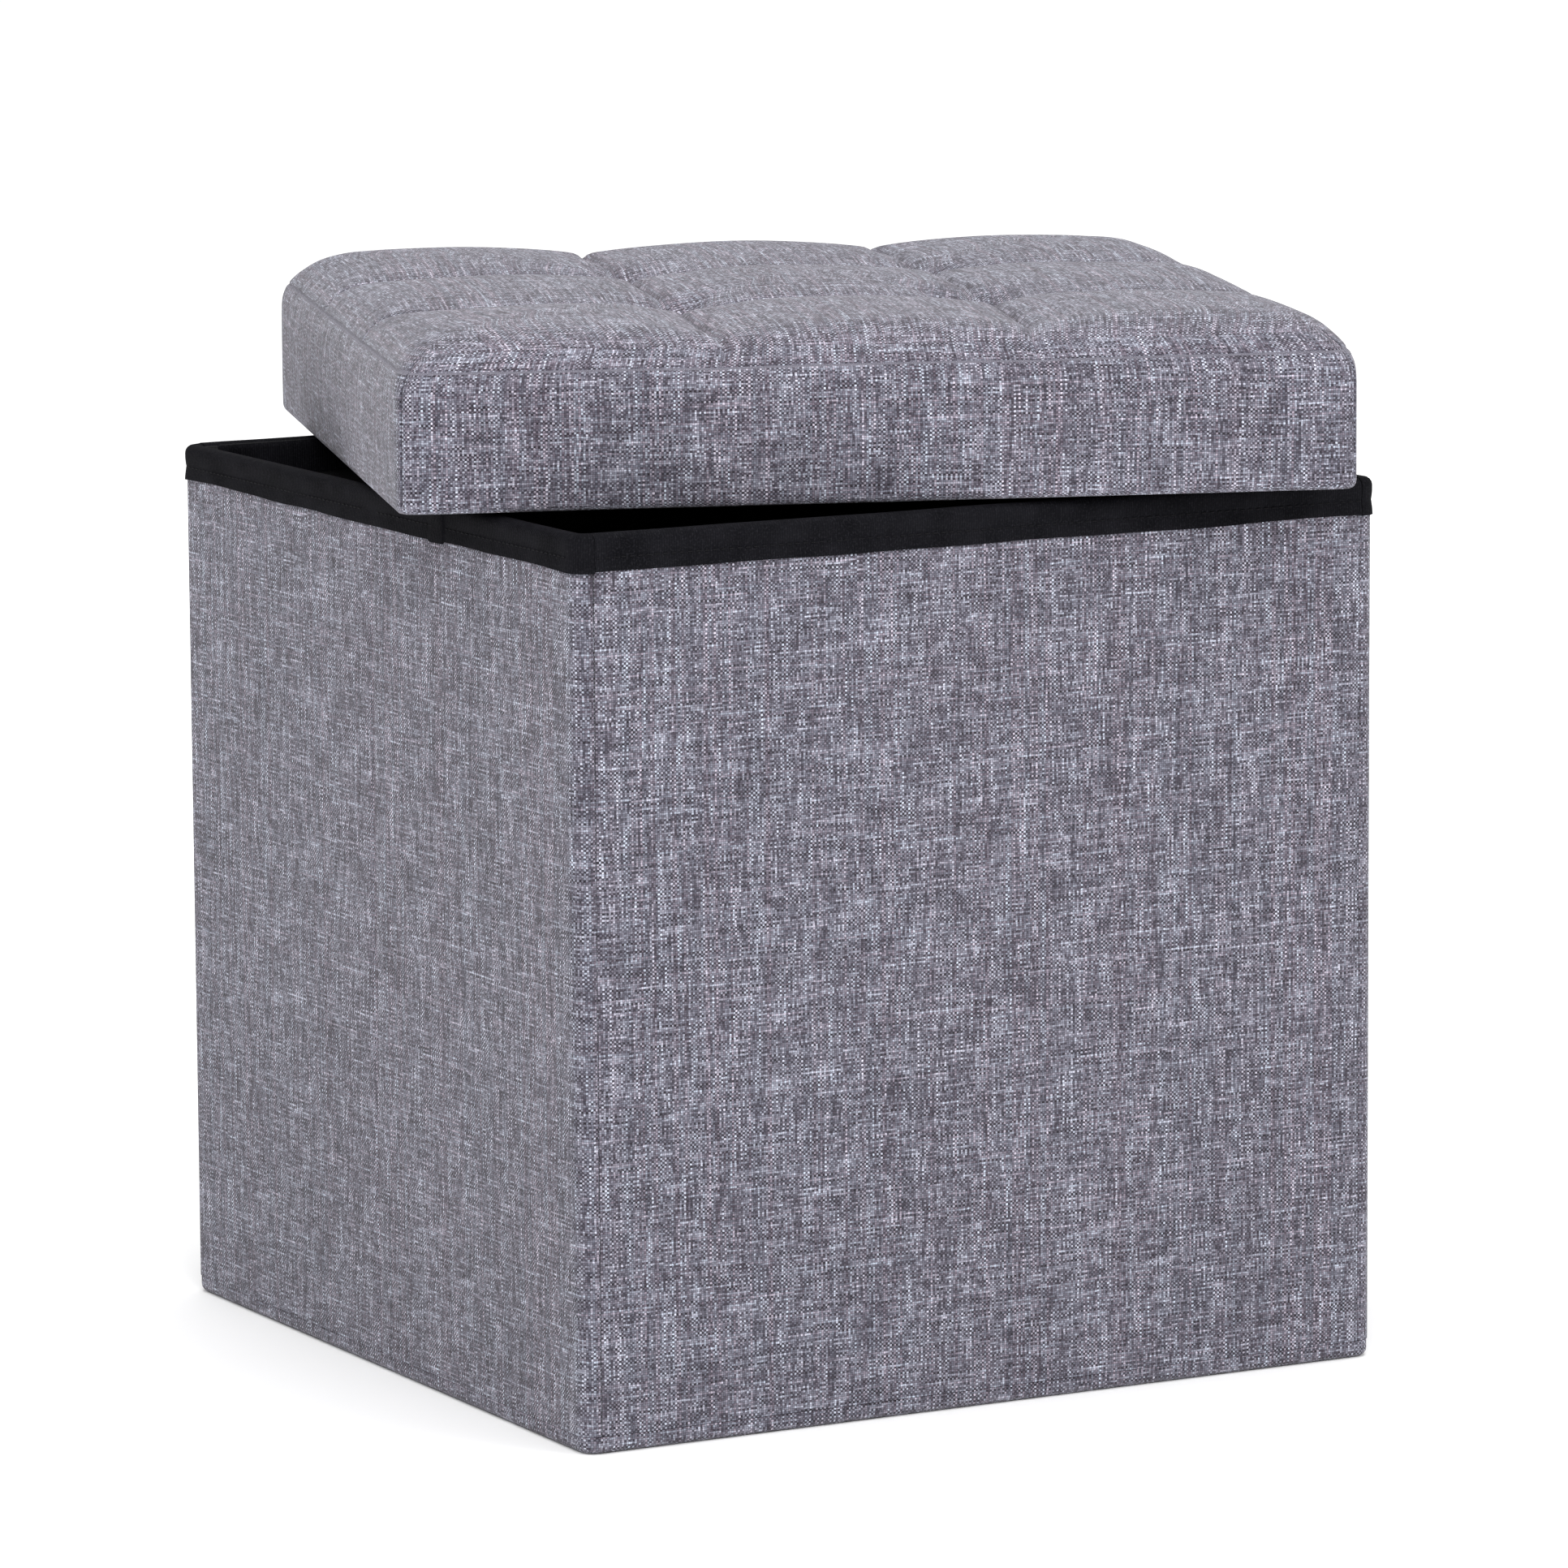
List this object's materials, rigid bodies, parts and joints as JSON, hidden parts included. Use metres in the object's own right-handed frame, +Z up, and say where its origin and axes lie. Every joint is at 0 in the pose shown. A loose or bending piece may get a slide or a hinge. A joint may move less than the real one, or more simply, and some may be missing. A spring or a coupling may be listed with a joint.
{
  "type": "storage ottoman",
  "caption": "Square folding storage ottoman: fabric-covered board box with bound rim and a loose padded, tufted lid that lifts off.",
  "frame": {"origin": "centre of the box's underside, on the floor", "axes": "+Z up; -Y is the front wall; +X is the right as seen from the front"},
  "size_m": [0.4786, 0.4786, 0.4348],
  "materials": {
    "melange_weave": "matt grey linen-look plain weave, light and dark yarns",
    "rim_tape": "black ribbed binding tape, slight sheen",
    "black_nonwoven": "matt black non-woven with pressed dots",
    "pull_ribbon": "black webbing",
    "fibreboard": "bare fibreboard",
    "foam": "open-cell foam",
    "twine": "waxed twine",
    "washer": "moulded",
    "staple_steel": "galvanised"
  },
  "bodies": {
    "base_and_back": {"floor_cloth": "melange_weave", "floor_hem": "melange_weave", "base_board": "fibreboard", "base_board_wrap": "black_nonwoven", "base_pull_tab": "pull_ribbon", "back_board": "fibreboard", "back_cover": "melange_weave", "back_lining": "black_nonwoven", "back_binding": "rim_tape"},
    "left_rear": {"left_rear_board": "fibreboard", "left_rear_cover": "melange_weave", "left_rear_lining": "black_nonwoven", "left_rear_binding": "rim_tape", "left_rear_corner_roll": "black_nonwoven"},
    "left_front": {"left_front_board": "fibreboard", "left_front_cover": "melange_weave", "left_front_lining": "black_nonwoven", "left_front_binding": "rim_tape", "left_front_corner_roll": "black_nonwoven"},
    "front_wall": {"front_board": "fibreboard", "front_cover": "melange_weave", "front_lining": "black_nonwoven", "front_binding": "rim_tape"},
    "right_rear": {"right_rear_board": "fibreboard", "right_rear_cover": "melange_weave", "right_rear_lining": "black_nonwoven", "right_rear_binding": "rim_tape", "right_rear_corner_roll": "black_nonwoven"},
    "right_front": {"right_front_board": "fibreboard", "right_front_cover": "melange_weave", "right_front_lining": "black_nonwoven", "right_front_binding": "rim_tape", "right_front_corner_roll": "black_nonwoven"},
    "lid_pivot": {"pivot_button": "melange_weave", "pivot_twine": "twine", "pivot_washer": "washer"},
    "lid": {"lid_board": "fibreboard", "lid_foam": "foam", "lid_top_cover": "melange_weave", "lid_band_front": "melange_weave", "lid_band_right": "melange_weave", "lid_band_back": "melange_weave", "lid_band_left": "melange_weave", "lid_dust_cloth": "black_nonwoven", "lid_staples": "staple_steel", "tuft_buttons": "melange_weave", "tuft_twines": "twine", "tuft_washers": "washer"}
  },
  "joints": [
    {"name": "wall_fold", "type": "hinge", "parent": "base_and_back", "child": "left_rear", "pos_m": [-0.1728, 0.1728, 0.18], "axis": [0, 0, -1], "range_deg": [-88, 0]},
    {"name": "left_crease", "type": "hinge", "parent": "left_rear", "child": "left_front", "pos_m": [-0.1812, 0, 0.18], "axis": [0, 0, -1], "range_deg": [0, 176]},
    {"name": "left_front_corner", "type": "hinge", "parent": "left_front", "child": "front_wall", "pos_m": [-0.1728, -0.1728, 0.18], "axis": [0, 0, -1], "range_deg": [-88, 0]},
    {"name": "right_rear_corner", "type": "hinge", "parent": "base_and_back", "child": "right_rear", "pos_m": [0.1728, 0.1728, 0.18], "axis": [0, 0, -1], "range_deg": [0, 88]},
    {"name": "right_crease", "type": "hinge", "parent": "right_rear", "child": "right_front", "pos_m": [0.1812, 0, 0.18], "axis": [0, 0, -1], "range_deg": [-176, 0]},
    {"name": "lid_lift", "type": "slide", "parent": "base_and_back", "child": "lid_pivot", "axis": [0, 0, 1], "range_m": [0, 0.26]},
    {"name": "lid_turn", "type": "hinge", "parent": "lid_pivot", "child": "lid", "pos_m": [0.06367, -0.06367, 0.36], "axis": [0, 0, 1], "range_deg": [0, 18.5]}
  ],
  "couplings": [
    {"joint": "left_crease", "follows": "wall_fold", "ratio": -2},
    {"joint": "left_front_corner", "follows": "wall_fold", "ratio": 1},
    {"joint": "right_rear_corner", "follows": "wall_fold", "ratio": -1},
    {"joint": "right_crease", "follows": "wall_fold", "ratio": 2}
  ]
}
